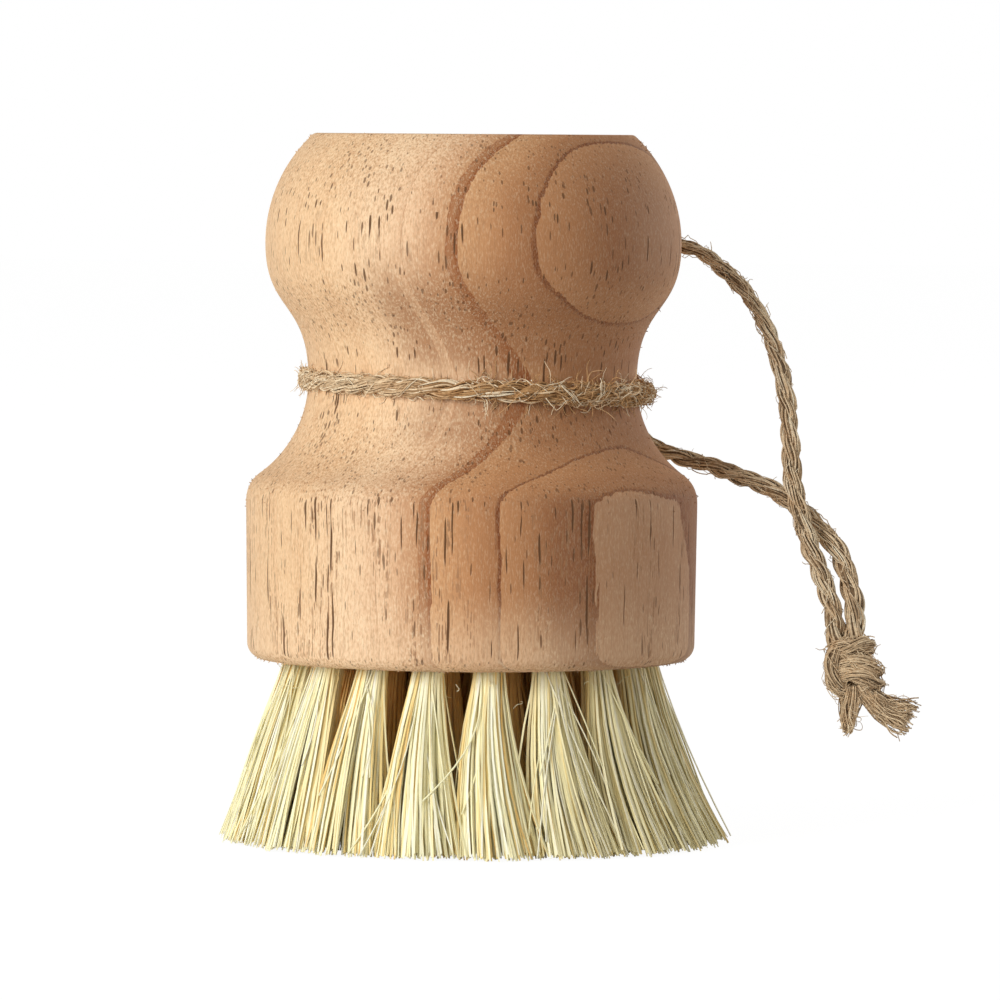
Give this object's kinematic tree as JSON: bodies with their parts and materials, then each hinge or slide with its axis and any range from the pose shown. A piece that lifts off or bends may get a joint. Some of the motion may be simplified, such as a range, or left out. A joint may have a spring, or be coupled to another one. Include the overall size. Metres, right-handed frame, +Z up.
{
  "type": "dish brush",
  "caption": "Palm dish brush: a turned wooden knob handle with fanned plant-fibre tufts underneath and a tied twine hanging loop round its neck.",
  "frame": {"origin": "centre of the level plane that the bristle tips stand on, on the turned handle's axis", "axes": "+Z up along the turned axis to the flat crown; -Y is the side the picture shows; the cord loop hangs on the +X side"},
  "size_m": [0.0756, 0.0542, 0.0767],
  "materials": {
    "turned_wood": "bare, finely sanded, open pores",
    "plant_fibre": "stiff waxy plant fibre, pale cream to straw",
    "jute_twine": "hairy twisted jute"
  },
  "bodies": {
    "brush": {"handle_block": "turned_wood", "tuft_outer_01": "plant_fibre", "tuft_outer_02": "plant_fibre", "tuft_outer_03": "plant_fibre", "tuft_outer_04": "plant_fibre", "tuft_outer_05": "plant_fibre", "tuft_outer_06": "plant_fibre", "tuft_outer_07": "plant_fibre", "tuft_outer_08": "plant_fibre", "tuft_outer_09": "plant_fibre", "tuft_outer_10": "plant_fibre", "tuft_outer_11": "plant_fibre", "tuft_outer_12": "plant_fibre", "tuft_outer_13": "plant_fibre", "tuft_outer_14": "plant_fibre", "tuft_outer_15": "plant_fibre", "tuft_outer_16": "plant_fibre", "tuft_outer_17": "plant_fibre", "tuft_outer_18": "plant_fibre", "tuft_second_01": "plant_fibre", "tuft_second_02": "plant_fibre", "tuft_second_03": "plant_fibre", "tuft_second_04": "plant_fibre", "tuft_second_05": "plant_fibre", "tuft_second_06": "plant_fibre", "tuft_second_07": "plant_fibre", "tuft_second_08": "plant_fibre", "tuft_second_09": "plant_fibre", "tuft_second_10": "plant_fibre", "tuft_second_11": "plant_fibre", "tuft_second_12": "plant_fibre", "tuft_inner_01": "plant_fibre", "tuft_inner_02": "plant_fibre", "tuft_inner_03": "plant_fibre", "tuft_inner_04": "plant_fibre", "tuft_inner_05": "plant_fibre", "tuft_inner_06": "plant_fibre", "tuft_centre": "plant_fibre"},
    "cord_loop": {"cord_neck_ring": "jute_twine", "cord_neck_knot": "jute_twine", "cord_leg_upper": "jute_twine", "cord_leg_lower": "jute_twine", "cord_end_knot": "jute_twine", "cord_tail_short": "jute_twine", "cord_tail_long": "jute_twine"}
  },
  "joints": [
    {"name": "cord_turn", "type": "hinge", "parent": "brush", "child": "cord_loop", "pos_m": [0, 0, 0.0499], "axis": [0, 0, 1], "continuous": true}
  ]
}
